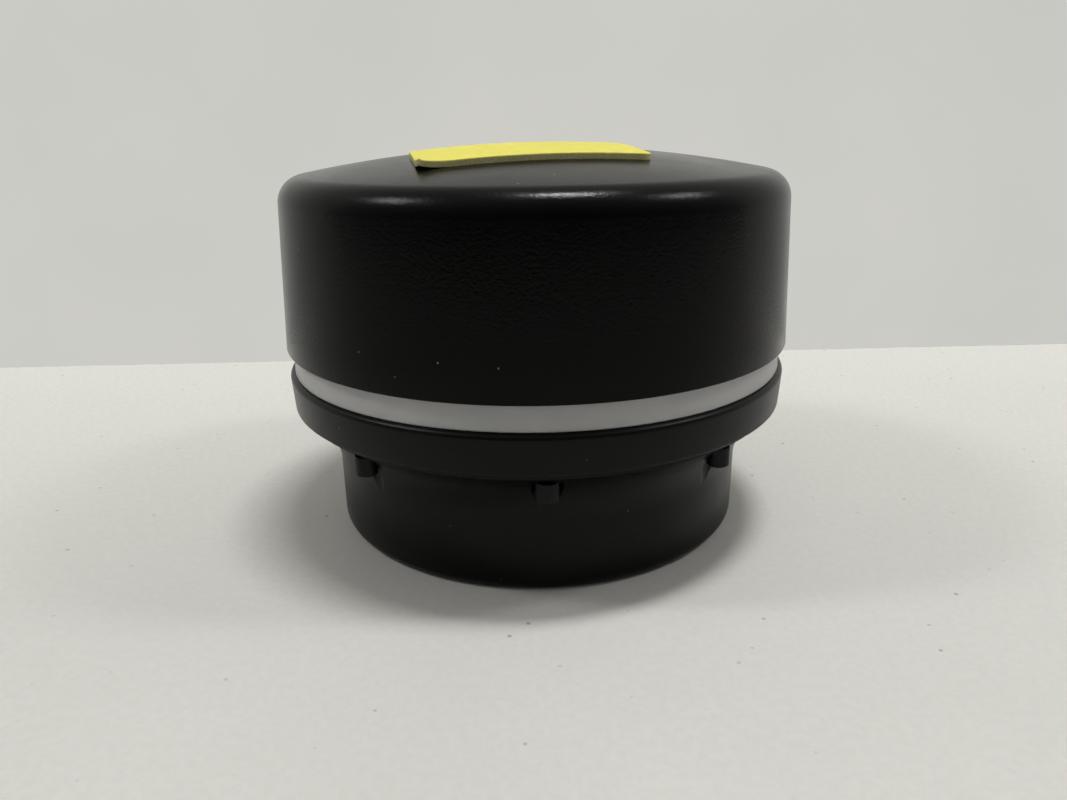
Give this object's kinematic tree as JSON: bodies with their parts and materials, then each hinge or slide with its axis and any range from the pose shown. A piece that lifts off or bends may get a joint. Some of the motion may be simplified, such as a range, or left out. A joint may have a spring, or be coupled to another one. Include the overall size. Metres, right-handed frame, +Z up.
{
  "type": "cooled camera head",
  "caption": "Round cooled camera head with a domed cover, a pale ring, a wide flange and a flared barrel that holds a threaded lens port; the sensor sits on a shifting stage.",
  "frame": {"origin": "centre of the face it rests on, which is also the lens mount face", "axes": "+Z up along the optical axis away from the lens, -Y the front, +X to the right seen from the front, +Y towards the rear socket"},
  "size_m": [0.096, 0.096, 0.0713],
  "materials": {
    "cover_paint": "fine texture satin black",
    "body_paint": "fine texture satin black",
    "ring_finish": "satin grey",
    "dark_steel": "black oxide",
    "screw_steel": "plain",
    "ring_metal": "black chrome satin",
    "clear_glass": "coated",
    "seal_rubber": "matt",
    "black_anodised": "black anodised",
    "plain_aluminium": "milled",
    "ceramic_dark": "matt",
    "ceramic_white": "matt",
    "silicon": "polished",
    "copper": "milled copper",
    "pellet_metal": "matt",
    "circuit_green": "solder mask",
    "chip_black": "moulded",
    "connector_black": "moulded",
    "shell_steel": "nickel plated",
    "cable_film": "polyimide film",
    "brass_spacer": "nickel free",
    "tag_yellow": "matt film on foam"
  },
  "bodies": {
    "housing": {"top_cover": "cover_paint", "accent_ring": "ring_finish", "base_flange": "body_paint", "mount_barrel": "body_paint", "barrel_screws": "dark_steel", "cover_screws": "screw_steel", "barrel_seal": "seal_rubber", "c_mount_ring": "ring_metal", "mount_ring_screws": "dark_steel", "sensor_window": "clear_glass", "window_seal": "seal_rubber", "window_retainer": "black_anodised", "retainer_screws": "dark_steel", "stage_frame": "black_anodised", "stage_standoffs": "brass_spacer", "stage_screws": "screw_steel", "x_guide_rods": "screw_steel", "x_piezo": "ceramic_white", "x_preload_plunger": "screw_steel", "cooler_cold_side": "ceramic_white", "cooler_pellets": "pellet_metal", "cooler_hot_side": "ceramic_white", "sensor_flat_cable": "cable_film", "cable_connector": "connector_black", "lower_standoffs": "brass_spacer", "drive_board": "circuit_green", "upper_standoffs": "brass_spacer", "main_board": "circuit_green", "board_screws": "screw_steel", "drive_chips": "chip_black", "drive_capacitors": "plain_aluminium", "board_link": "connector_black", "processor_chip": "chip_black", "processor_heat_sink": "plain_aluminium", "memory_chips": "chip_black", "power_inductors": "chip_black", "rear_bracket": "shell_steel", "bracket_screws": "dark_steel", "data_socket": "shell_steel", "jack_posts": "shell_steel", "asset_tag": "tag_yellow"},
    "x_stage": {"x_carriage": "black_anodised", "y_guide_rods": "screw_steel", "y_piezo": "ceramic_white", "y_preload_plunger": "screw_steel"},
    "y_stage": {"y_carriage": "black_anodised", "sensor_board": "circuit_green", "sensor_board_screws": "screw_steel", "sensor_connector": "connector_black", "sensor_package": "ceramic_dark", "sensor_die": "silicon", "sensor_lid": "clear_glass", "cold_plate": "copper", "temperature_sensor": "chip_black"}
  },
  "joints": [
    {"name": "x_shift", "type": "slide", "parent": "housing", "child": "x_stage", "axis": [1, 0, 0], "range_m": [0, 0.00001172]},
    {"name": "y_shift", "type": "slide", "parent": "x_stage", "child": "y_stage", "axis": [0, 1, 0], "range_m": [0, 0.00001172]}
  ]
}
